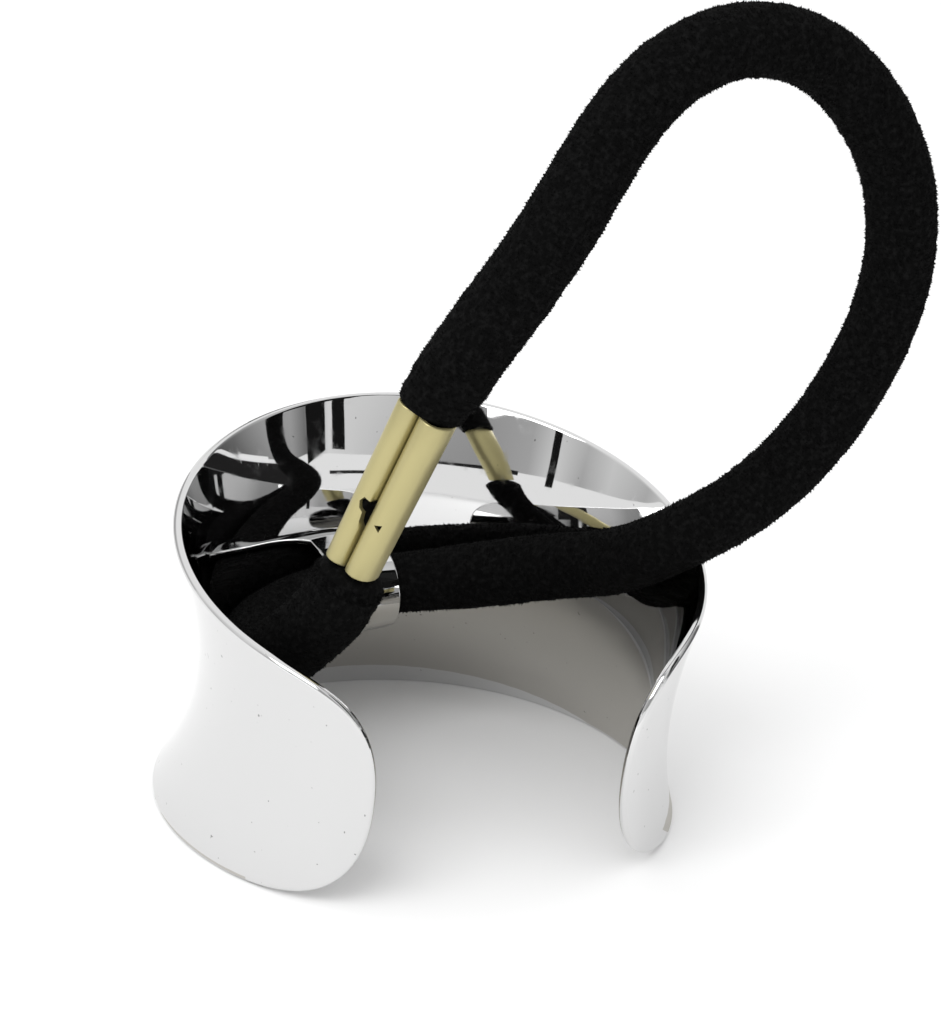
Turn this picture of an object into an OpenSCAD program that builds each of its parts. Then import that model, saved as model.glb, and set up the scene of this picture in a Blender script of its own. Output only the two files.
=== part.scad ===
// Ponytail cuff: a waisted sheet-metal cuff that stands on its rim, a braided elastic that runs
// through a strap soldered inside the cuff's back, and the crimp that joins the elastic's ends.
// Millimetres. Z is up and the cuff's opening faces -Y. The origin is on the plane that the cuff
// stands on, below the middle of its waist.

/* [Cuff] */
// Radius of the waist, to the middle of the sheet
waist_r = 20; // [19:0.5:22]
// Angle from the middle of the back round to each end
wrap_half = 146; // [130:1:150]
// Thickness of the sheet
sheet = 0.8; // [0.6:0.1:1.2]
// Half height over the axis
half_h = 12; // [10:0.5:14]
// Rise of each rim per millimetre towards the back
rim_slope = 0.114; // [0.08:0.002:0.14]
// Outward flare at the back, per millimetre of height squared
flare_back = 0.022; // [0.01:0.001:0.025]
// How much less flare there is at the ends
flare_drop = 0.016; // [0:0.001:0.018]
// Share of the wrap at which the rounding of each end starts
lobe_start = 0.52; // [0.4:0.02:0.7]

/* [Keeper strap] */
// Width of the strap along the wall
strap_w = 6; // [4:0.5:8]
// Thickness of the strap
strap_t = 0.6; // [0.5:0.1:0.8]
// Inside radius of the strap's arch
strap_in = 3.2; // [3.1:0.1:3.3]
// Turn of the strap from the middle of the back, towards -X
strap_turn = 8; // [0:0.5:12]

/* [Elastic] */
// Sides of the elastic's cross-section
cord_sides = 12; // [8:1:16]
// Rings in each span of the elastic's curve
cord_rings = 3; // [2:1:4]

/* [Crimp] */
// Lower mouth of the crimp, from the middle of the waist
crimp_low = [-11, -9, 16];
// Upper mouth of the crimp, from the middle of the waist
crimp_top = [-6.3, -11.5, 30];
// Radius of the crimp's back
crimp_r = 2.45; // [2.3:0.05:2.6]
// Radius of each of its two barrels
barrel_r = 1.3; // [1.2:0.05:1.35]
// Distance of each barrel from the seam
barrel_x = 1.15; // [1.1:0.05:1.2]
// Thickness of the crimp's sheet
crimp_wall = 0.4; // [0.3:0.05:0.5]

/* [Hidden] */

// The wall of the cuff.
lobe_square = 8;        // exponent along the wrap of the ends' outline
lobe_round = 2.27;      // exponent across it
rim_round = 0.3;        // how far the middle of the rim stands out past its two faces
wall_columns = 88;      // columns of faces along the wrap
wall_rows = 12;         // rows of faces over the height
end_share = 0.99;       // the last column, as a share of a quarter turn in the spacing rule

function share(a) = abs(a) / wrap_half;
function flare(a) = flare_back - flare_drop * pow(share(a), 2);

// Height at which the flared wall meets the plane z = half_h + rim_slope * y.
function plane_height(a) =
    let (s = rim_slope * cos(a), start = half_h + s * waist_r)
    2 * start / (1 + sqrt(1 - 4 * flare(a) * s * start));

function lobe(a) =
    pow(1 - pow(max(0, share(a) - lobe_start) / (1 - lobe_start), lobe_square), 1 / lobe_round);

// A point of the wall at angle a and height z: side is 1 outside, -1 inside and 0 in the middle.
function wall_point(a, z, side) =
    let (slope = 2 * flare(a) * z,
         across = side * sheet / 2 / sqrt(1 + slope * slope),
         r = waist_r + flare(a) * z * z + across)
    [r * sin(a), r * cos(a), z - across * slope];

// One closed loop round the sheet: up the outside, over the rim, down the inside, under the rim.
function wall_loop(a) =
    let (h = plane_height(a) * lobe(a), past = h + rim_round)
    concat([for (j = [0 : wall_rows]) wall_point(a, h * (2 * j / wall_rows - 1), 1)],
           [wall_point(a, past, 0)],
           [for (j = [0 : wall_rows]) wall_point(a, h * (1 - 2 * j / wall_rows), -1)],
           [wall_point(a, -past, 0)]);

function column_angle(i) = wrap_half * sin(90 * end_share * (2 * i / wall_columns - 1));

// The side faces between loops of m points, and the two flat ends.
function loop_faces(loops, m) =
    concat([for (i = [0 : loops - 2]) for (j = [0 : m - 1])
                let (k = (j + 1) % m, a = i * m, b = a + m)
                each [[a + j, b + k, a + k], [a + j, b + j, b + k]]],
           [[for (j = [0 : m - 1]) j]],
           [[for (j = [m - 1 : -1 : 0]) (loops - 1) * m + j]]);

// The cuff leans until its lower rim lies flat, and stands on the lowest point of that rim.
lean = atan(rim_slope);
function foot(a) =
    let (p = wall_point(a, -plane_height(a) * lobe(a) - rim_round, 0))
    p[1] * sin(lean) + p[2] * cos(lean);
waist_z = -min([for (i = [0 : wall_columns]) foot(column_angle(i))]);

module stand() { translate([0, 0, waist_z]) rotate([lean, 0, 0]) children(); }

module cuff_wall() {
    loops = [for (i = [0 : wall_columns]) wall_loop(column_angle(i))];
    polyhedron(points = [for (l = loops) each l],
               faces = loop_faces(wall_columns + 1, len(loops[0])), convexity = 6);
}

// The keeper strap: a bent strip, from the wall over the elastic and back to the wall.
strap_gap = 0.4;                                        // from the wall to the elastic
strap_cord = 2.75;                                      // the elastic's radius in the strap
strap_mid = waist_r - sheet / 2 - strap_gap - strap_cord;   // the elastic's radius from the axis
strap_seat = waist_r + 0.1;                             // the legs end inside the sheet
strap_bend = strap_in + strap_t / 2;
strap_steps = 12;
rib = 0.12;              // thickness of each rib that the strip is built from

// Stations along the strip: radius, height and turn of the strip's normal.
function strap_station(i) =
    i == 0 ? [strap_seat, strap_bend, 90] :
    i == strap_steps + 2 ? [strap_seat, -strap_bend, 270] :
    let (turn = 90 + 180 * (i - 1) / strap_steps)
    [strap_mid + strap_bend * cos(turn), strap_bend * sin(turn), turn];

module strap_rib(i) {
    s = strap_station(i);
    translate([0, s[0], s[1]]) rotate([s[2], 0, 0]) cube([strap_w, strap_t, rib], center = true);
}

module keeper_strap() {
    rotate([0, 0, strap_turn])
        for (i = [0 : strap_steps + 1]) hull() { strap_rib(i); strap_rib(i + 1); }
}

module cuff() {
    color([0.85, 0.85, 0.86]) stand() union() {
        cuff_wall();
        keeper_strap();
    }
}

// The crimp's frame: its axis runs from the lower mouth to the upper one.
crimp_run = crimp_top - crimp_low;
crimp_len = norm(crimp_run);
crimp_axis = crimp_run / crimp_len;
crimp_face = 150;       // turn of the seam about the crimp's axis

module on_crimp() {
    translate([0, 0, waist_z]) translate(crimp_low)
        rotate([0, acos(crimp_axis[2]), atan2(crimp_axis[1], crimp_axis[0])])
            rotate([0, 0, crimp_face]) children();
}

// The elastic. Each row is a control point of its middle line, from the middle of the waist, and
// its diameter there: up the leg from the crimp, round the loop, over the rim at +X, along the
// inside of the wall through the strap, round inside the wall at -X, and up to the crimp.
// [x, y, z, across]
route = [
    [-3.5, -12.5, 36, 6.3],
    [0.5, -13.5, 42.5, 6.3],
    [4, -13.5, 48.5, 6.2],
    [7.5, -12.5, 54.5, 6.1],
    [13.5, -11, 59, 6],
    [20.5, -9.5, 59.5, 6],
    [27, -8, 57, 6],
    [32.5, -7, 51.5, 6],
    [36, -6, 45, 6],
    [37, -5.5, 38, 6],
    [36, -5, 31.5, 5.9],
    [33, -4.5, 24.5, 5.9],
    [28.5, -4.5, 19, 5.8],
    [23, -5.5, 16, 5.7],
    [17.5, -3.5, 12.5, 5.6],
    [17, 3, 8.5, 5.8],
    [14, 9, 6, 5.9],
    [9, 13.5, 3.5, 6],
    [3, 16.5, 2, 5.3],
    [-3.5, 16.5, 2, 5.1],
    [-9, 14, 1.5, 5.8],
    [-13.5, 9.5, 1.5, 6.1],
    [-15.5, 3.5, 2, 6.1],
    [-15.5, -2.5, 5, 6.2],
    [-13, -7.5, 10.5, 6.2],
];
cord_d = 6.2;           // diameter next to the crimp
cord_lead = 2.5;        // from each mouth to the curve's first point
cord_in = 5;            // length of each end inside the crimp
cord_in_r = 1;          // radius of the squeezed ends
// The round shoulder outside each mouth: distance from the mouth, and share of the radius
shoulder = [[0.3, 0.4], [0.5, 0.72], [0.9, 0.92], [1.6, 0.99]];

function with_d(p, d) = [p[0], p[1], p[2], d];
controls = concat([with_d(crimp_top - crimp_axis * 4, cord_d),
                   with_d(crimp_top + crimp_axis * cord_lead, cord_d)],
                  route,
                  [with_d(crimp_low - crimp_axis * cord_lead, cord_d),
                   with_d(crimp_low + crimp_axis * 4, cord_d)]);

// A point of the smooth curve over four control points, at t from 0 to 1.
function curve_point(c, i, t) =
    (c[i] * pow(1 - t, 3) + c[i + 1] * (3 * t * t * t - 6 * t * t + 4)
     + c[i + 2] * (-3 * t * t * t + 3 * t * t + 3 * t + 1) + c[i + 3] * t * t * t) / 6;

function cord_end(mouth, out) =
    concat([with_d(mouth - out * cord_in, 2 * cord_in_r), with_d(mouth + out * 0.1, 2 * cord_in_r)],
           [for (s = shoulder) with_d(mouth + out * s[0], cord_d * s[1])]);

function reversed(list) = [for (i = [len(list) - 1 : -1 : 0]) list[i]];

spans = len(controls) - 3;
cord_line = concat(cord_end(crimp_top, crimp_axis),
                   [for (i = [0 : spans - 1]) for (k = [0 : cord_rings - 1])
                       curve_point(controls, i, k / cord_rings)],
                   [curve_point(controls, spans - 1, 1)],
                   reversed(cord_end(crimp_low, -crimp_axis)));

function place_of(p) = [p[0], p[1], p[2]];
function unit(v) = v / norm(v);
function direction(i) =
    unit(place_of(cord_line[min(i + 1, len(cord_line) - 1)] - cord_line[max(i - 1, 0)]));

// The first side direction, carried along the line without twist.
cord_start = cross(direction(0), [0, 1, 0]);
cord_side = [for (i = 0, u = unit(cord_start); i < len(cord_line);
                  i = i + 1, u = i < len(cord_line)
                      ? unit(u - direction(i) * (u * direction(i))) : u) u];

function cord_ring(i) =
    let (u = cord_side[i], v = cross(direction(i), u), p = place_of(cord_line[i]),
         r = cord_line[i][3] / 2)
    [for (k = [0 : cord_sides - 1])
        p + r * (u * cos(360 * k / cord_sides) + v * sin(360 * k / cord_sides))];

module elastic_band() {
    color([0.07, 0.07, 0.08]) translate([0, 0, waist_z])
        polyhedron(points = [for (i = [0 : len(cord_line) - 1]) each cord_ring(i)],
                   faces = loop_faces(len(cord_line), cord_sides), convexity = 8);
}

// The crimp's cross-section, with the seam at +Y and the elastic's axis at the origin.
crimp_shift = 0.45;     // from the elastic's axis to the middle of the crimp's back
barrel_y = 0.85;        // height of the barrels over the middle of the crimp's back
back_top = 0.75;        // where the round back gives way to the barrels
seam_notch = [0.9, 2.4];        // width and length of the notch at the seam
notch_past = 0.1;               // how far the notch reaches past the seam, towards -X
notch_at = 5.3;                 // from the lower mouth to the middle of the notch
slit = [0.35, 3.6];              // width and length of the narrow part of the notch
slit_at = 4.7;                  // from the lower mouth to the middle of the narrow part
hole_r = 0.4;                   // radius of the three-sided hole
hole_at = 5;                  // from the lower mouth to the hole
hole_turn = 30;  // turn of the hole about its barrel, from the seam's direction

module crimp_outline(inset) {
    translate([0, crimp_shift]) {
        intersection() {
            circle(r = crimp_r - inset, $fn = 64);
            translate([-5, -5]) square([10, 5 + back_top]);
        }
        for (s = [-1, 1])
            translate([s * barrel_x, barrel_y]) circle(r = barrel_r - inset, $fn = 48);
    }
}

module crimp_ferrule() {
    color([0.80, 0.75, 0.52]) on_crimp() difference() {
        linear_extrude(height = crimp_len) crimp_outline(0);
        translate([0, 0, -1]) linear_extrude(height = crimp_len + 2) crimp_outline(crimp_wall);
        translate([-notch_past, 1, notch_at - seam_notch[1] / 2])
            cube([seam_notch[0], 3, seam_notch[1]]);
        translate([-slit[0] / 2, 1, slit_at - slit[1] / 2]) cube([slit[0], 3, slit[1]]);
        translate([-barrel_x, crimp_shift + barrel_y, hole_at]) rotate([-90, 0, hole_turn])
            cylinder(r = hole_r, h = 2, $fn = 3);
    }
}

cuff();
elastic_band();
crimp_ferrule();
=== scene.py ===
"""Looks for the ponytail cuff: a polished cuff with a keeper strap, a braided elastic and a crimp.

Sizes are in millimetres and become metres where a mesh is made. The frame is the CAD part's:
Z is up, the cuff's opening faces -Y, and the origin lies below the middle of the cuff's waist, on
the floor that the cuff stands on.
"""

import math

import bmesh
import bpy
import numpy as np
from mathutils import Euler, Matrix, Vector, noise

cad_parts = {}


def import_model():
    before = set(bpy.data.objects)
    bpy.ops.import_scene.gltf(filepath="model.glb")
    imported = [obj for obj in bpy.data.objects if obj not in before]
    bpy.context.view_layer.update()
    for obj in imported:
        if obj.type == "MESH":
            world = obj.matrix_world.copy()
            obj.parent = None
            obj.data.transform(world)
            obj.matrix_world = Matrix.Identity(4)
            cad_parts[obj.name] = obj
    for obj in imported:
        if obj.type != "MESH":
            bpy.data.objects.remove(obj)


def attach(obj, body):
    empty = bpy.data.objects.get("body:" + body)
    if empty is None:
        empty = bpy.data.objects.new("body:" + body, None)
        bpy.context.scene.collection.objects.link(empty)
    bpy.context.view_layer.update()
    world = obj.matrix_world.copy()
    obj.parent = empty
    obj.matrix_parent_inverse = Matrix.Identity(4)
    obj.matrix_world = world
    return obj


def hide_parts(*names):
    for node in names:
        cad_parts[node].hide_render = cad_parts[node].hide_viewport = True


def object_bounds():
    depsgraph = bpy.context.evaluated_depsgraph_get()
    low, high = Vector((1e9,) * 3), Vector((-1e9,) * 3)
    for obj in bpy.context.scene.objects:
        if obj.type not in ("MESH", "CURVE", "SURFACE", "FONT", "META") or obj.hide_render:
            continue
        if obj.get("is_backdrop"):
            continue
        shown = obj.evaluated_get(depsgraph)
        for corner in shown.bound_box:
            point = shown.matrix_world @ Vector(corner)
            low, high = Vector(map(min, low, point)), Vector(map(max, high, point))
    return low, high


MM = 0.001

# The cuff's wall.
WAIST_R = 20.0
WRAP_HALF = math.radians(146)
SHEET = 0.8
HALF_H = 12.0
RIM_SLOPE = 0.114
FLARE_BACK = 0.022
FLARE_DROP = 0.016
LOBE_START = 0.52
LOBE_SQUARE = 8
LOBE_ROUND = 2.27
RIM_ROUND = 0.3
LEAN = math.atan(RIM_SLOPE)

# The keeper strap inside the cuff's back.
STRAP_W = 6.0
STRAP_T = 0.6
STRAP_IN = 3.2
STRAP_MID = 16.45
STRAP_TURN = math.radians(8)
STRAP_CORNER = 0.2
STRAP_STEPS = 41
STRAP_END = WAIST_R - 0.1

# The crimp. Its mouths are given from the middle of the waist.
CRIMP_LOW = np.array([-11, -9, 16.0])
CRIMP_TOP = np.array([-6.3, -11.5, 30.0])
CRIMP_LEN = float(np.linalg.norm(CRIMP_TOP - CRIMP_LOW))
CRIMP_R = 2.45
BACK_TOP = 0.75
CRIMP_SHIFT = 0.45
CRIMP_WALL = 0.4
CRIMP_FACE = math.radians(150)
# Two barrels side by side, and the round side that joins each one to the back.
BARREL_X, BARREL_Y, BARREL_R = 1.25, 0.85, 1.26
SIDE_X, SIDE_Y, SIDE_R = 0.62, 0.45, 1.87
# The outline is averaged over SOFT_TURN to each side, except within SEAM_TURN of the seam.
SOFT_TURN = math.radians(18)
SEAM_TURN = math.radians(32)
# Width at the lower mouth as a share of the width at the upper one.
TAPER = 0.91
# Rounding of the sheet's edges at the mouths: outer corner, its middle and inner corner.
EDGE_OUT, EDGE_MID, EDGE_IN = 0.12, 0.04, 0.1
# The filling lies this far inside the sheet and inside the mouths.
FILL_GAP, FILL_IN = 0.03, 0.6
# The torn notch at the seam: distance across from the seam and height over the lower mouth.
NOTCH_EDGE = [(-0.12, 6.45), (0.22, 6.6), (0.32, 6.25), (0.80, 6.45), (1.05, 5.95), (0.82, 5.4),
              (0.50, 5.15), (0.42, 4.3), (0.22, 3.7), (0.08, 2.9), (-0.12, 3.1), (-0.16, 4.4)]
# The open seam: its width, and the heights between which its cut runs, past both mouths.
SEAM_W = 0.16
SEAM_LOW, SEAM_HIGH = -1, 17
# The three-sided hole: reach of its corners, height over the lower mouth, turn about its barrel
# and tilt.
HOLE_R, HOLE_AT = 0.4, 5.0
HOLE_TURN, HOLE_TILT = math.radians(15), math.radians(-25)
# From where to where each cut goes through the sheet: the hole's from its barrel's middle.
SEAM_REACH, NOTCH_REACH, HOLE_REACH = (0.7, 4), (1, 4), (0.4, 2)
# Where the faces of the cut crimp meet at more than this, the edge is drawn sharp.
SHARP_TURN = math.radians(50)

# The elastic's middle line, from the middle of the waist: x, y, z and diameter.
ROUTE = [
    (-3.5, -12.5, 36, 6.3),
    (0.5, -13.5, 42.5, 6.3),
    (4, -13.5, 48.5, 6.2),
    (7.5, -12.5, 54.5, 6.1),
    (13.5, -11, 59, 6),
    (20.5, -9.5, 59.5, 6),
    (27, -8, 57, 6),
    (32.5, -7, 51.5, 6),
    (36, -6, 45, 6),
    (37, -5.5, 38, 6),
    (36, -5, 31.5, 5.9),
    (33, -4.5, 24.5, 5.9),
    (28.5, -4.5, 19, 5.8),
    (23, -5.5, 16, 5.7),
    (17.5, -3.5, 12.5, 5.6),
    (17, 3, 8.5, 5.8),
    (14, 9, 6, 5.9),
    (9, 13.5, 3.5, 6),
    (3, 16.5, 2, 5.3),
    (-3.5, 16.5, 2, 5.1),
    (-9, 14, 1.5, 5.8),
    (-13.5, 9.5, 1.5, 6.1),
    (-15.5, 3.5, 2, 6.1),
    (-15.5, -2.5, 5, 6.2),
    (-13, -7.5, 10.5, 6.2),
]
CORD_D = 6.2
CORD_IN_R = 1.0
CORD_LEAD = 2.5
CORD_SIDES = 120
CORD_STEP = 0.3
FOOT_STEP = 0.08
SPLINE_STEPS = 60
# The line begins and ends this deep in the crimp; the outermost controls lie nearer the mouths.
CORD_MOUTH = 5.0
CORD_AIM = 4.0
SHOULDER = 2.0
FOOT_GAP = 0.1
# The lip over the crimp's upper mouth: distance past the mouth, radius and share of the braid.
LIP = [(-4.5, 1.0, 0), (0.3, 1.0, 0), (0.15, 2.0, 0), (0.12, 2.7, 0), (0.05, 2.84, 0),
       (0.0, 2.94, 0.1), (0.08, 3.02, 0.3), (0.25, 3.08, 0.6), (0.5, 3.12, 0.8), (0.8, 3.14, 1),
       (1.2, 3.14, 1), (1.6, 3.13, 1), (2.0, 3.11, 1)]
# The crimp pinches the elastic's upper end: by how much, towards which side and how far up.
PINCH = 0.28
PINCH_SIDE = 0.38
PINCH_LONG = 3.5
BRAID_STRANDS = 12
BRAID_LAY = 19.0
BRAID_DEPTH = 0.045
# Dents in the braid: depth, size and seed. The braid is sunk a little under its nap.
DENTS = [(0.07, 2.1, 0), (0.05, 0.8, 9), (0.05, 0.42, 5)]
NAP_SINK = 0.05
# Tufts of fibre: number, radius at the root, least and greatest length, depth of the root, lean,
# how much thinner the longest are, and the place of the root's second and third corner.
TUFTS = 46000
TUFT_R = 0.12
TUFT_SHORT, TUFT_LONG = 0.12, 0.32
TUFT_SINK = 0.07
TUFT_LEAN = 0.8
TUFT_THIN = 0.75
TUFT_BESIDE = 0.87

# Glowing cards that only the polished metal mirrors: painted reflections, light and dark, in the
# metal. Each is a list of columns: azimuth (0 is -Y and 90 is +X), lowest and highest elevation,
# and brightness at the foot and at the head.
CARD_R = 0.75
BAR_R = CARD_R * 0.99
CARD_ROWS = 16
CARD_STEPS = 12
PAINTED_REFLECTIONS = [(100, 10, 70, 0.10, 0.70), (82, 10, 70, 0.15, 0.85), (66, 10, 70, 0.35, 0.95),
            (54, 10, 70, 0.40, 0.60), (48, 12, 70, 0.20, 0.30), (37, 13, 70, 0.90, 0.85),
            (20, 13, 70, 0.75, 1.00), (4, 13, 70, 0.60, 1.00), (-12, 13, 70, 0.40, 0.60),
            (-30, 13, 70, 0.38, 0.45), (-52, 13, 70, 0.50, 0.45), (-64, 13, 70, 0.85, 0.60),
            (-78, 12, 70, 0.50, 0.90), (-92, 11, 70, 0.75, 1.00), (-112, 10, 70, 0.55, 1.00),
            (-135, 10, 70, 1.00, 1.05)]
# Narrow bars of painted reflection, mostly dark and one bright.
PAINTED_REFLECTION_BARS = [
    [(47.3, 9, 60, 0.01, 0.01), (38.5, 14, 60, 0.01, 0.01)],
    [(35.4, 14.5, 60, 0.01, 0.01), (29.9, 14.5, 60, 0.01, 0.01)],
    [(60, 24, 60, 0.02, 0.02), (28, 33, 60, 0.02, 0.02)],
    [(37, 6, 7.2, 0.03, 0.03), (20, 6, 7.2, 0.03, 0.03)],
    [(-10, 12, 13, 0.02, 0.02), (-48, 12, 13.5, 0.02, 0.02)],
    [(-61.5, 10, 32, 0.01, 0.01), (-65, 10, 32, 0.01, 0.01)],
    [(104, -0.5, 9, 0.02, 0.02), (50, -0.5, 9, 0.02, 0.02)],
    [(82, 8.2, 10.6, 1.10, 1.10), (67, 8.2, 10.6, 1.10, 1.10)],
    [(172, 6, 40, 0.05, 0.05), (165, 6, 40, 0.05, 0.05)],
    [(235, 12, 38, 0.50, 0.80), (185, 12, 38, 0.30, 0.60)],
]
# Paper on the floor that only the metal mirrors: a disc inside the cuff with painted shade in place
# of the cuff's shadow on the floor, even up to SHADE_FLAT from the middle, and a dark sheet that
# gives painted dark reflections.
SHADE_R = 22.9
SHADE_BACK = 1.5
SHADE_FRONT = -9.0
SHADE_Z = 0.3
SHADE_FLAT = 6.0
SHADE_MIDDLE = (0.42, 0.40, 0.35)
SHADE_EDGE = (0.66, 0.64, 0.60)
# The dark sheet's azimuths in degrees and its near and far edge in metres.
DARK_REFLECTION_SHEET = (55, 104, 0.08, 0.75)

# The lamp in metres and watts, the white room's strength and half the floor's width in metres.
KEY_AT = (-0.30, -0.25, 0.45)
KEY_SIZE = (0.35, 0.35)
KEY_POWER = 1.5
KEY_AIM = (0, 0, 0.03)
SKY = 1.05
FLOOR_HALF = 1.5

# The camera.
CAMERA_AT = (-0.10218, -0.26330, 0.14706)
CAMERA_TURN = (67.1470, -3.9686, -19.9309)
CAMERA_LENS = 139.49
SENSOR = 36.0


# Shared shape functions

def unit(v):
    return v / np.linalg.norm(v, axis=-1, keepdims=True)


def flare(a):
    return FLARE_BACK - FLARE_DROP * (np.abs(a) / WRAP_HALF) ** 2


def rim_height(a):
    """Half height of the wall at angle a: a flat-cut rim, rounded off at the two lobes."""
    s = RIM_SLOPE * np.cos(a)
    start = HALF_H + s * WAIST_R
    flat = 2 * start / (1 + np.sqrt(1 - 4 * flare(a) * s * start))
    u = np.clip((np.abs(a) / WRAP_HALF - LOBE_START) / (1 - LOBE_START), 0, 1)
    return flat * (1 - u ** LOBE_SQUARE) ** (1 / LOBE_ROUND)


def wall(a, z):
    """Point of the sheet's middle and its outward normal at angle a and height z."""
    k = flare(a)
    r = WAIST_R + k * z * z
    out = np.stack([np.sin(a), np.cos(a), np.zeros_like(a)], -1)
    point = out * r[..., None] + np.stack([0 * a, 0 * a, z], -1)
    slope = 2 * k * z
    normal = unit(out - np.stack([0 * a, 0 * a, slope], -1))
    return point, normal


def find_waist_z():
    a = WRAP_HALF * np.sin(np.linspace(-1, 1, 801) * math.pi / 2 * 0.99)
    low, _ = wall(a, -rim_height(a) - RIM_ROUND)
    return -float((low[:, 1] * math.sin(LEAN) + low[:, 2] * math.cos(LEAN)).min())


WAIST_Z = find_waist_z()
WAIST = np.array([0, 0, WAIST_Z])


def stand(p):
    """From the cuff's own frame to the frame in which it stands on its rim."""
    c, s = math.cos(LEAN), math.sin(LEAN)
    x, y, z = p[..., 0], p[..., 1], p[..., 2]
    return np.stack([x, y * c - z * s, y * s + z * c + WAIST_Z], -1)


def grid_faces(loops, points, wrap=False, caps=False):
    """Faces between closed loops that follow each other."""
    faces = []
    for i in range(loops if wrap else loops - 1):
        a, b = i * points, (i + 1) % loops * points
        for j in range(points):
            k = (j + 1) % points
            faces.append((a + j, a + k, b + k, b + j))
    if caps:
        faces.append(tuple(range(points - 1, -1, -1)))
        faces.append(tuple((loops - 1) * points + j for j in range(points)))
    return faces


def mesh_piece(name, parts, material, node=None):
    """One object from (points, faces) parts, in millimetres."""
    points, faces, start = [], [], 0
    for p, f in parts:
        p = p.reshape(-1, 3)
        points.append(p)
        faces += [tuple(v + start for v in face) for face in f]
        start += len(p)
    mesh = bpy.data.meshes.new(name)
    mesh.from_pydata((np.concatenate(points) * MM).tolist(), [], faces)
    work = bmesh.new()
    work.from_mesh(mesh)
    bmesh.ops.remove_doubles(work, verts=work.verts, dist=1e-7)
    bmesh.ops.recalc_face_normals(work, faces=work.faces)
    work.to_mesh(mesh)
    work.free()
    mesh.materials.append(material)
    mesh.shade_smooth()
    obj = bpy.data.objects.new(name, mesh)
    bpy.context.scene.collection.objects.link(obj)
    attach(obj, "root")
    if node:
        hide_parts(node)
    return obj


# The cuff

def wall_part(columns=280, rows=36, turns=6):
    s = np.linspace(-1, 1, columns + 1)
    a = WRAP_HALF * np.sin(s * math.pi / 2)
    h = rim_height(a)
    h[[0, -1]] = 0
    steps = np.concatenate([[-1, -0.993], np.linspace(-0.98, 0.98, rows - 3), [0.993, 1]])
    arc = np.linspace(math.pi / 2, -math.pi / 2, turns + 1)[1:-1]
    loops = []
    rims = {}
    for side in (1, -1):
        p, n = wall(a, side * h)
        run = np.gradient(p, axis=0)
        run[0], run[-1] = (0, 0, side), (0, 0, -side)
        rims[side] = (p, n, side * unit(np.cross(run, n)))
    for i in range(columns + 1):
        z = h[i] * steps
        p, n = wall(np.full_like(z, a[i]), z)
        loop = [p + n * SHEET / 2]
        for side, turn in ((1, arc), (-1, -arc)):
            q, m, out = (v[i] for v in rims[side])
            loop.append(np.array([q + out * RIM_ROUND * math.cos(t) + m * SHEET / 2 * math.sin(t)
                                  for t in turn]))
            if side == 1:
                loop.append((p - n * SHEET / 2)[::-1])
        loops.append(np.concatenate(loop))
    loops = np.array(loops)
    return stand(loops), grid_faces(len(loops), loops.shape[1])


def rounded_section(width, thick, corner, steps=5):
    """Corners of a rounded rectangle, turning anticlockwise."""
    points = []
    for i, (sx, sy) in enumerate([(1, 1), (-1, 1), (-1, -1), (1, -1)]):
        for t in np.linspace(0, math.pi / 2, steps + 1):
            ang = t + i * math.pi / 2
            points.append((sx * (width / 2 - corner) + corner * math.cos(ang),
                           sy * (thick / 2 - corner) + corner * math.sin(ang)))
    return points


def strap_part():
    bend = STRAP_IN + STRAP_T / 2
    stations = [(STRAP_END, bend, math.pi / 2)]
    for turn in np.linspace(math.pi / 2, 3 * math.pi / 2, STRAP_STEPS):
        stations.append((STRAP_MID + bend * math.cos(turn), bend * math.sin(turn), turn))
    stations.append((STRAP_END, -bend, 3 * math.pi / 2))
    section = rounded_section(STRAP_W, STRAP_T, STRAP_CORNER)
    c, s = math.cos(STRAP_TURN), math.sin(STRAP_TURN)
    loops = []
    for r, z, turn in stations:
        loops.append([(x * c - (r + t * math.cos(turn)) * s,
                       x * s + (r + t * math.cos(turn)) * c,
                       z + t * math.sin(turn)) for x, t in section])
    loops = np.array(loops)
    return stand(loops), grid_faces(len(loops), loops.shape[1], caps=True)


# The elastic

def elastic_line():
    """Middle line of the elastic at even steps, with its radius."""
    axis = unit(CRIMP_TOP - CRIMP_LOW)

    def at(p, d=CORD_D):
        return np.append(p, d)

    controls = np.array([at(CRIMP_TOP - axis * CORD_AIM), at(CRIMP_TOP + axis * CORD_LEAD)]
                        + [np.array(row, float) for row in ROUTE]
                        + [at(CRIMP_LOW - axis * CORD_LEAD), at(CRIMP_LOW + axis * CORD_AIM)])
    line = [at(CRIMP_TOP - axis * CORD_MOUTH)]
    for i in range(len(controls) - 3):
        c = controls[i:i + 4]
        for t in np.linspace(0, 1, SPLINE_STEPS, endpoint=False):
            w = np.array([(1 - t) ** 3, 3 * t ** 3 - 6 * t * t + 4,
                          -3 * t ** 3 + 3 * t * t + 3 * t + 1, t ** 3]) / 6
            line.append(w @ c)
    line.append(at(CRIMP_LOW + axis * CORD_MOUTH))
    line = np.array(line)
    run = np.concatenate([[0], np.cumsum(np.linalg.norm(np.diff(line[:, :3], axis=0), axis=1))])
    return line[:, :3] + WAIST, line[:, 3] / 2, run


def elastic_rings(radius, run):
    """Place along the line, radius and share of the full braid of each ring of the surface."""
    total = run[-1]
    foot = np.concatenate([np.arange(CORD_MOUTH + SHOULDER, 0, -FOOT_STEP), [0]])
    middle = np.arange(CORD_MOUTH + SHOULDER, total - CORD_MOUTH - SHOULDER, CORD_STEP)
    place = np.concatenate([middle, total - foot])
    past = total - CORD_MOUTH - place
    grown = np.clip((past - FOOT_GAP) / (SHOULDER - FOOT_GAP), 0, 1)
    full = np.interp(place, run, radius)
    size = CORD_IN_R + (full - CORD_IN_R) * np.sqrt(1 - (1 - grown) ** 2)
    lip = np.array(LIP)
    return (np.concatenate([CORD_MOUTH + lip[:, 0], place]), np.concatenate([lip[:, 1], size]),
            np.concatenate([lip[:, 2], grown]))


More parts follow.
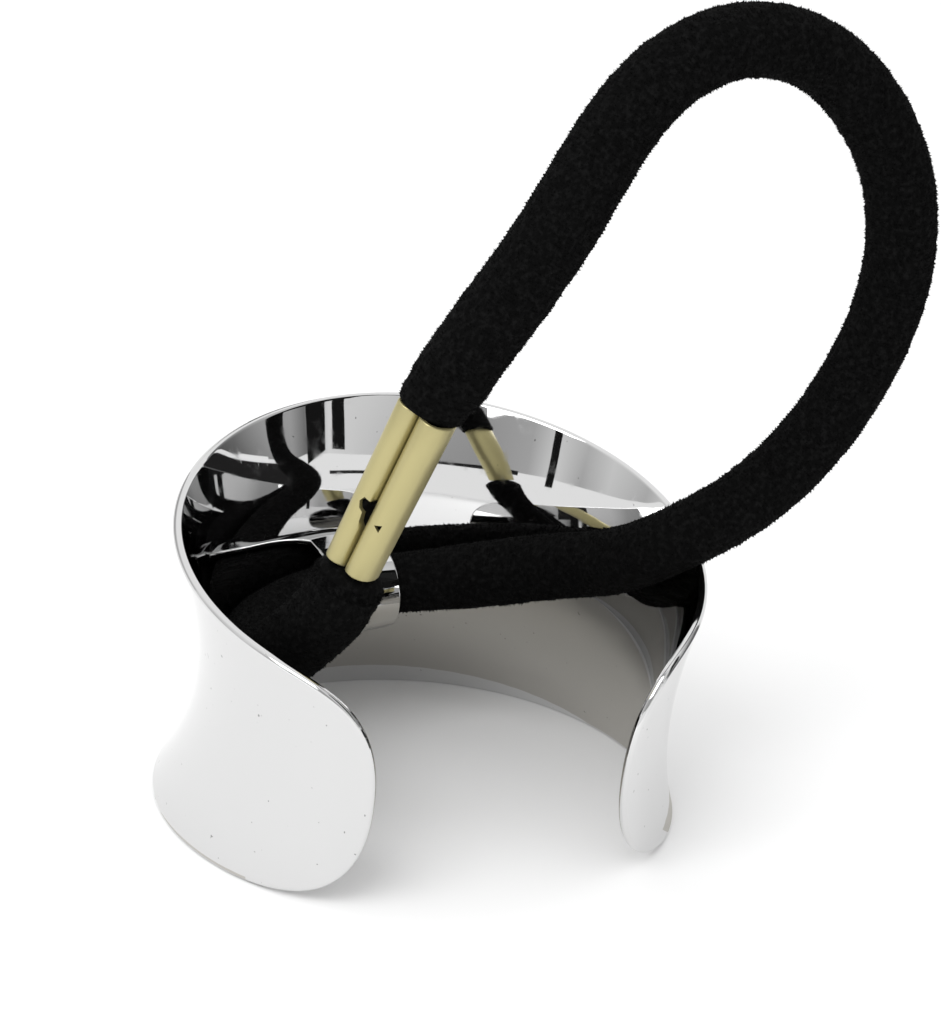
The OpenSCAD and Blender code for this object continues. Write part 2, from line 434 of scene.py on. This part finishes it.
def carry_sides(line):
    """Directions along a line, and side directions that are carried without twist."""
    run = unit(np.gradient(line, axis=0))
    side = np.cross(run[0], (0, 1, 0))
    sides = []
    for d in run:
        side = unit(side - d * (side @ d))
        sides.append(side)
    return run, np.array(sides)


def along(place, run, values):
    """Values, which are known at run, read off at place."""
    return np.stack([np.interp(place, run, values[:, k]) for k in range(values.shape[1])], -1)


def dent(p):
    """How far the braid stands out or in at a point."""
    return sum(depth * noise.noise(Vector(p / size) + Vector((seed, 0, 0)))
               for depth, size, seed in DENTS) - NAP_SINK


def elastic_part():
    """The braid's surface, its outward directions and each ring's share of the full braid."""
    dense, dense_radius, reach = elastic_line()
    place, radius, grown = elastic_rings(dense_radius, reach)
    ahead, sides = carry_sides(dense)
    line, run = along(place, reach, dense), unit(along(place, reach, ahead))
    u = along(place, reach, sides)
    u = unit(u - run * (u * run).sum(-1, keepdims=True))
    v = np.cross(run, u)
    near = np.clip(1 - (place - CORD_MOUTH) / PINCH_LONG, 0, 1)
    near = near * near * (3 - 2 * near)
    line = line + near[:, None] * (on_crimp(np.array([PINCH_SIDE, 0, 0])) - CRIMP_LOW - WAIST)
    radius = radius - PINCH * near * (radius > CORD_IN_R + 1)
    turn = np.linspace(0, 2 * math.pi, CORD_SIDES, endpoint=False)
    out = u[:, None] * np.cos(turn)[None, :, None] + v[:, None] * np.sin(turn)[None, :, None]
    lay = 2 * math.pi * place[:, None] / BRAID_LAY
    right = np.sin(BRAID_STRANDS * (turn[None] + lay))
    left = np.sin(BRAID_STRANDS * (turn[None] - lay))
    braid = np.maximum(right, left) * BRAID_DEPTH
    surface = line[:, None] + out * radius[:, None, None]
    rough = np.array([[dent(p) for p in ring] for ring in surface])
    surface = surface + out * ((braid + rough) * grown[:, None])[..., None]
    return surface, out, grown


def nap_part(surface, out, grown):
    """Short tufts of fibre that stand off the braid, each a closed thin spike."""
    pick = np.random.default_rng(7)
    i = pick.choice(np.nonzero(grown > 0.5)[0], TUFTS)
    j = pick.integers(CORD_SIDES, size=TUFTS)
    root, up = surface[i, j], out[i, j]
    lean = unit(pick.normal(size=(TUFTS, 3)))
    long = pick.uniform(0, 1, (TUFTS, 1)) ** 3
    tip = root + unit(up + TUFT_LEAN * lean) * (TUFT_SHORT + (TUFT_LONG - TUFT_SHORT) * long)
    across = unit(np.cross(up, lean)) * (TUFT_R * (1 - TUFT_THIN * long))
    ahead = np.cross(up, across)
    foot = root - up * TUFT_SINK
    back, beside = foot - across / 2, ahead * TUFT_BESIDE
    points = np.stack([foot + across, back + beside, back - beside, tip], 1).reshape(-1, 3)
    faces = [tuple(4 * n + v for v in face) for n in range(TUFTS)
             for face in ((0, 2, 1), (0, 1, 3), (1, 2, 3), (2, 0, 3))]
    return points, faces


# The crimp

def crimp_reach(turn, inset):
    """Distance from the middle of the crimp's back to its outline in the direction turn."""
    cx, sy = math.cos(turn), math.sin(turn)
    reach = CRIMP_R - inset
    if sy > 0:
        reach = min(reach, BACK_TOP / sy)
    for side in (-1, 1):
        for x, y, r in ((BARREL_X, BARREL_Y, BARREL_R), (SIDE_X, SIDE_Y, SIDE_R)):
            ahead = side * x * cx + y * sy
            inside = ahead ** 2 - x ** 2 - y ** 2 + (r - inset) ** 2
            if inside > 0 and (r == BARREL_R or side * cx > abs(sy)):
                reach = max(reach, ahead + math.sqrt(inside))
    return reach


def on_crimp(p):
    """From the crimp's own frame, with its axis up, to the row's frame."""
    run = CRIMP_TOP - CRIMP_LOW
    axis = unit(run)
    incl, azim = math.acos(axis[2]), math.atan2(axis[1], axis[0])
    turn = (Euler((0, 0, azim)).to_matrix() @ Euler((0, incl, 0)).to_matrix()
            @ Euler((0, 0, CRIMP_FACE)).to_matrix())
    return p @ np.array(turn).T + CRIMP_LOW + WAIST


def crimp_outline(inset, steps):
    """Outline of the crimp, (turn, reach) at each step, with soft corners except at the seam."""
    turns = np.linspace(0, 2 * math.pi, steps, endpoint=False)
    sharp = np.array([crimp_reach(t, inset) for t in turns])
    soft = sharp
    window = int(steps * SOFT_TURN / math.pi) // 2
    for _ in range(2):
        soft = np.mean([np.roll(soft, k) for k in range(-window, window + 1)], axis=0)
    from_seam = np.abs(turns - math.pi / 2)
    share = np.clip((from_seam - SEAM_TURN) / SEAM_TURN, 0, 1)
    return zip(turns, sharp + (soft - sharp) * share)


def taper(z):
    """The folded crimp is a little narrower at its lower mouth."""
    return TAPER + (1 - TAPER) * z / CRIMP_LEN


def crimp_place(turn, r, z):
    """A point in the crimp's own frame, from its turn and reach and its height."""
    r = r * taper(z)
    return r * math.cos(turn), r * math.sin(turn) + CRIMP_SHIFT, z


def crimp_part(steps=300):
    high = CRIMP_LEN
    loops = []
    for (turn, big), (_, small) in zip(crimp_outline(0, steps), crimp_outline(CRIMP_WALL, steps)):
        section = [(big, EDGE_OUT), (big, high * 0.25), (big, high * 0.5), (big, high * 0.75),
                   (big, high - EDGE_OUT), (big - EDGE_MID, high - EDGE_MID),
                   (big - EDGE_OUT, high), (small + EDGE_IN, high), (small, high - EDGE_IN),
                   (small, high * 0.5), (small, EDGE_IN), (small + EDGE_IN, 0),
                   (big - EDGE_OUT, 0), (big - EDGE_MID, EDGE_MID)]
        loops.append([crimp_place(turn, r, z) for r, z in section])
    loops = np.array(loops)
    return on_crimp(loops), grid_faces(len(loops), loops.shape[1], wrap=True)


def filling_part(steps=120, rings=30):
    """The elastic's squeezed ends, which fill the crimp's barrels."""
    outline = list(crimp_outline(CRIMP_WALL + FILL_GAP, steps))
    loops = np.array([[crimp_place(turn, r, z) for turn, r in outline]
                      for z in np.linspace(FILL_IN, CRIMP_LEN - FILL_IN, rings)])
    return on_crimp(loops), grid_faces(len(loops), steps, caps=True)


def prism(section, low, high):
    """A straight cutter along Y in the crimp's frame, from (x, z) corners."""
    loops = np.array([[(x, y, z) for x, z in section] for y in (low, high)])
    return loops, grid_faces(2, len(section), caps=True)


def cut(target, points, faces):
    """Takes a closed shape, in millimetres, out of a piece."""
    mesh = bpy.data.meshes.new("cutter")
    mesh.from_pydata((points.reshape(-1, 3) * MM).tolist(), [], faces)
    work = bmesh.new()
    work.from_mesh(mesh)
    bmesh.ops.recalc_face_normals(work, faces=work.faces)
    work.to_mesh(mesh)
    work.free()
    cutter = bpy.data.objects.new("cutter", mesh)
    bpy.context.scene.collection.objects.link(cutter)
    tool = target.modifiers.new("cut", "BOOLEAN")
    tool.operation = "DIFFERENCE"
    tool.solver = "EXACT"
    tool.object = cutter
    seen = target.evaluated_get(bpy.context.evaluated_depsgraph_get())
    result = bpy.data.meshes.new_from_object(seen)
    target.modifiers.clear()
    target.data = result
    bpy.data.objects.remove(cutter)


def cut_crimp(crimp):
    """The open seam, the torn notch and the three-sided hole."""
    half = SEAM_W / 2
    seam = [(-half, SEAM_LOW), (half, SEAM_LOW), (half, SEAM_HIGH), (-half, SEAM_HIGH)]
    for edge, reach in ((seam, SEAM_REACH), (NOTCH_EDGE, NOTCH_REACH)):
        points, faces = prism(edge, *reach)
        cut(crimp, on_crimp(points), faces)
    corners = [(HOLE_R * math.sin(t + HOLE_TILT), -HOLE_R * math.cos(t + HOLE_TILT))
               for t in (0, 2 * math.pi / 3, 4 * math.pi / 3)]
    points, faces = prism(corners, *HOLE_REACH)
    c, s = math.cos(HOLE_TURN), math.sin(HOLE_TURN)
    x, y = points[..., 0].copy(), points[..., 1].copy()
    points[..., 0] = x * c - y * s - BARREL_X
    points[..., 1] = x * s + y * c + CRIMP_SHIFT + BARREL_Y
    points[..., 2] += HOLE_AT
    cut(crimp, on_crimp(points), faces)
    crimp.data.shade_smooth()
    crimp.data.set_sharp_from_angle(angle=SHARP_TURN)


# Materials

def shader(name, **values):
    """A material with one Principled shader and its constant values."""
    material = bpy.data.materials.new(name)
    material.use_nodes = True
    surface = material.node_tree.nodes["Principled BSDF"]
    for key, value in values.items():
        surface.inputs[key.replace("_", " ")].default_value = value
    return material, material.node_tree, surface


def add_bump(tree, surface, scale, detail, strength, distance):
    """Fine noise over the surface, in object space."""
    place = tree.nodes.new("ShaderNodeTexCoord")
    grain = tree.nodes.new("ShaderNodeTexNoise")
    grain.inputs["Scale"].default_value = scale
    grain.inputs["Detail"].default_value = detail
    bump = tree.nodes.new("ShaderNodeBump")
    bump.inputs["Strength"].default_value = strength
    bump.inputs["Distance"].default_value = distance
    tree.links.new(place.outputs["Object"], grain.inputs["Vector"])
    tree.links.new(grain.outputs["Fac"], bump.inputs["Height"])
    tree.links.new(bump.outputs["Normal"], surface.inputs["Normal"])


def vary(tree, socket, scale, detail, span, values):
    """Noise in object space, from values[0] below span to values[1] above it."""
    place = tree.nodes.new("ShaderNodeTexCoord")
    grain = tree.nodes.new("ShaderNodeTexNoise")
    grain.inputs["Scale"].default_value = scale
    grain.inputs["Detail"].default_value = detail
    change = tree.nodes.new("ShaderNodeMapRange")
    change.interpolation_type = "SMOOTHSTEP"
    change.inputs["From Min"].default_value, change.inputs["From Max"].default_value = span
    change.inputs["To Min"].default_value, change.inputs["To Max"].default_value = values
    tree.links.new(place.outputs["Object"], grain.inputs["Vector"])
    tree.links.new(grain.outputs["Fac"], change.inputs["Value"])
    tree.links.new(change.outputs["Result"], socket)


def plating():
    material, tree, surface = shader("plating", Metallic=1.0)
    vary(tree, surface.inputs["Roughness"], scale=700, detail=4, span=(0.5, 0.75),
         values=(0.025, 0.10))
    vary(tree, surface.inputs["Base Color"], scale=1900, detail=1, span=(0.76, 0.80),
         values=(0.68, 0.28))
    add_bump(tree, surface, scale=130, detail=1, strength=0.35, distance=0.0001)
    return material


def braid():
    material, tree, surface = shader("braid", Roughness=0.95, Specular_IOR_Level=0.06)
    vary(tree, surface.inputs["Base Color"], scale=2200, detail=3, span=(0.4, 0.8),
         values=(0.0018, 0.0065))
    add_bump(tree, surface, scale=5200, detail=3, strength=0.9, distance=0.00008)
    return material


def gold():
    material, tree, surface = shader("gold wash", Base_Color=(0.47, 0.42, 0.21, 1), Metallic=0.8,
                                     Roughness=0.40)
    add_bump(tree, surface, scale=5000, detail=2, strength=0.15, distance=0.00002)
    return material


# Studio and assembly

def add_light(name, place, size, power, aim):
    data = bpy.data.lights.new(name, "AREA")
    data.shape = "RECTANGLE"
    data.size, data.size_y = size
    data.energy = power
    lamp = bpy.data.objects.new(name, data)
    lamp.location = place
    lamp.rotation_euler = (Vector(aim) - Vector(place)).to_track_quat("-Z", "Y").to_euler()
    bpy.context.scene.collection.objects.link(lamp)


def painted_reflection_paper():
    """A material that glows as the mesh's own attribute says: painted reflections for the metal."""
    material = bpy.data.materials.new("card")
    material.use_nodes = True
    material.cycles.emission_sampling = "NONE"
    tree = material.node_tree
    tree.nodes.clear()
    glow = tree.nodes.new("ShaderNodeAttribute")
    glow.attribute_name = "glow"
    light = tree.nodes.new("ShaderNodeEmission")
    output = tree.nodes.new("ShaderNodeOutputMaterial")
    tree.links.new(glow.outputs["Fac"], light.inputs["Strength"])
    tree.links.new(light.outputs["Emission"], output.inputs["Surface"])
    return material


def stage_mirrored(name, mesh, material):
    """A stage object that only the mirroring metal shows."""
    mesh.materials.append(material)
    card = bpy.data.objects.new(name, mesh)
    card.visible_camera = card.visible_diffuse = card.visible_shadow = False
    bpy.context.scene.collection.objects.link(card)
    card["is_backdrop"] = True


def add_card(name, columns, radius, material):
    """A curved card round the scene through its columns, whose glow the metal shows as painted
    reflections.
    """
    columns = np.array(columns, float)
    rows = CARD_ROWS
    steps = np.linspace(0, len(columns) - 1, CARD_STEPS * (len(columns) - 1) + 1)
    points, glow = [], []
    for az, low, high, foot, head in along(steps, np.arange(len(columns)), columns):
        for up in np.linspace(0, 1, rows):
            az_r, el_r = math.radians(az), math.radians(low + (high - low) * up)
            points.append((radius * math.cos(el_r) * math.sin(az_r),
                           -radius * math.cos(el_r) * math.cos(az_r),
                           radius * math.sin(el_r) + WAIST_Z * MM))
            glow.append(foot + (head - foot) * up)
    mesh = bpy.data.meshes.new(name)
    mesh.from_pydata(points, [], [(i, i + 1, i + 1 + rows, i + rows)
                                  for i in range(len(points) - rows) if (i + 1) % rows])
    mesh.attributes.new("glow", "FLOAT", "POINT").data.foreach_set("value", glow)
    stage_mirrored(name, mesh, material)


def add_shade():
    """Brownish paper with painted shade, darkest in the middle of the cuff, where the cuff's shadow
    falls.
    """
    material, tree, surface = shader("shaded paper", Roughness=0.9)
    place = tree.nodes.new("ShaderNodeTexCoord")
    away = tree.nodes.new("ShaderNodeVectorMath")
    away.operation = "LENGTH"
    change = tree.nodes.new("ShaderNodeMapRange")
    change.data_type = "FLOAT_VECTOR"
    tree.links.new(place.outputs["Object"], away.inputs[0])
    tree.links.new(away.outputs["Value"], change.inputs["Vector"])
    # Painted shade: the colour goes from SHADE_MIDDLE near the middle to SHADE_EDGE at the disc's
    # rim.
    ends = ((SHADE_FLAT * MM,) * 3, (SHADE_R * MM,) * 3, SHADE_MIDDLE, SHADE_EDGE)
    # The node's vector sockets From Min, From Max, To Min and To Max.
    for socket, value in zip(list(change.inputs)[7:11], ends):
        socket.default_value = value
    tree.links.new(change.outputs["Vector"], surface.inputs["Base Color"])
    turns = np.linspace(0, 2 * math.pi, 64, endpoint=False)
    mesh = bpy.data.meshes.new("shade")
    points = [(SHADE_R * math.cos(t), max(SHADE_R * math.sin(t) + SHADE_BACK, SHADE_FRONT), SHADE_Z)
              for t in turns]
    mesh.from_pydata((np.array(points) * MM).tolist(), [], [tuple(range(len(turns)))])
    stage_mirrored("shade", mesh, material)


def add_dark_reflection_sheet():
    """Dark paper on the floor, to the right of the object, which only the metal shows: painted dark
    reflections.
    """
    material, _, _ = shader("dark paper", Base_Color=(0.02, 0.02, 0.02, 1), Roughness=0.9)
    start, end, near, far = DARK_REFLECTION_SHEET
    turns = np.radians(np.linspace(start, end, 24))
    mesh = bpy.data.meshes.new("dark_sheet")
    mesh.from_pydata([(r * math.sin(t), -r * math.cos(t), SHADE_Z * MM)
                      for t in turns for r in (near, far)], [],
                     [(i, i + 1, i + 3, i + 2) for i in range(0, 2 * len(turns) - 2, 2)])
    stage_mirrored("dark_sheet", mesh, material)


def add_floor():
    material, _, _ = shader("paper", Base_Color=(0.9, 0.9, 0.9, 1), Roughness=0.9)
    mesh = bpy.data.meshes.new("floor")
    half = FLOOR_HALF
    mesh.from_pydata([(-half, -half, 0), (half, -half, 0), (half, half, 0), (-half, half, 0)],
                     [], [(0, 1, 2, 3)])
    mesh.materials.append(material)
    floor = bpy.data.objects.new("floor", mesh)
    bpy.context.scene.collection.objects.link(floor)
    floor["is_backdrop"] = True


def add_camera():
    data = bpy.data.cameras.new("camera")
    data.sensor_fit = "HORIZONTAL"
    data.sensor_width = SENSOR
    data.lens = CAMERA_LENS
    data.clip_start = 0.01
    camera = bpy.data.objects.new("camera", data)
    camera.location = CAMERA_AT
    camera.rotation_euler = [math.radians(v) for v in CAMERA_TURN]
    bpy.context.scene.collection.objects.link(camera)
    bpy.context.scene.camera = camera


def set_world():
    world = bpy.data.worlds.new("studio")
    world.use_nodes = True
    sky = world.node_tree.nodes["Background"]
    sky.inputs["Color"].default_value = (1, 1, 1, 1)
    sky.inputs["Strength"].default_value = SKY
    bpy.context.scene.world = world
    bpy.context.scene.view_settings.view_transform = "Standard"


def build():
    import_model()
    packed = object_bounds()
    mesh_piece("cuff_plated", [wall_part(), strap_part()], plating(), "cuff")

    black = braid()
    surface, out, grown = elastic_part()
    mesh_piece("elastic_braid",
               [(surface, grid_faces(len(surface), CORD_SIDES, caps=True)), filling_part()],
               black, "elastic_band")
    mesh_piece("elastic_nap", [nap_part(surface, out, grown)], black)

    crimp = mesh_piece("crimp_folded", [crimp_part()], gold(), "crimp_ferrule")
    cut_crimp(crimp)

    add_floor()
    add_shade()
    add_dark_reflection_sheet()
    # Cards of painted reflection, which only the metal shows.
    paper = painted_reflection_paper()
    add_card("backdrop", PAINTED_REFLECTIONS, CARD_R, paper)
    for i, columns in enumerate(PAINTED_REFLECTION_BARS):
        add_card(f"bar_{i}", columns, BAR_R, paper)
    add_light("key", KEY_AT, KEY_SIZE, KEY_POWER, KEY_AIM)
    add_camera()
    set_world()
    return packed


packed_box = build()
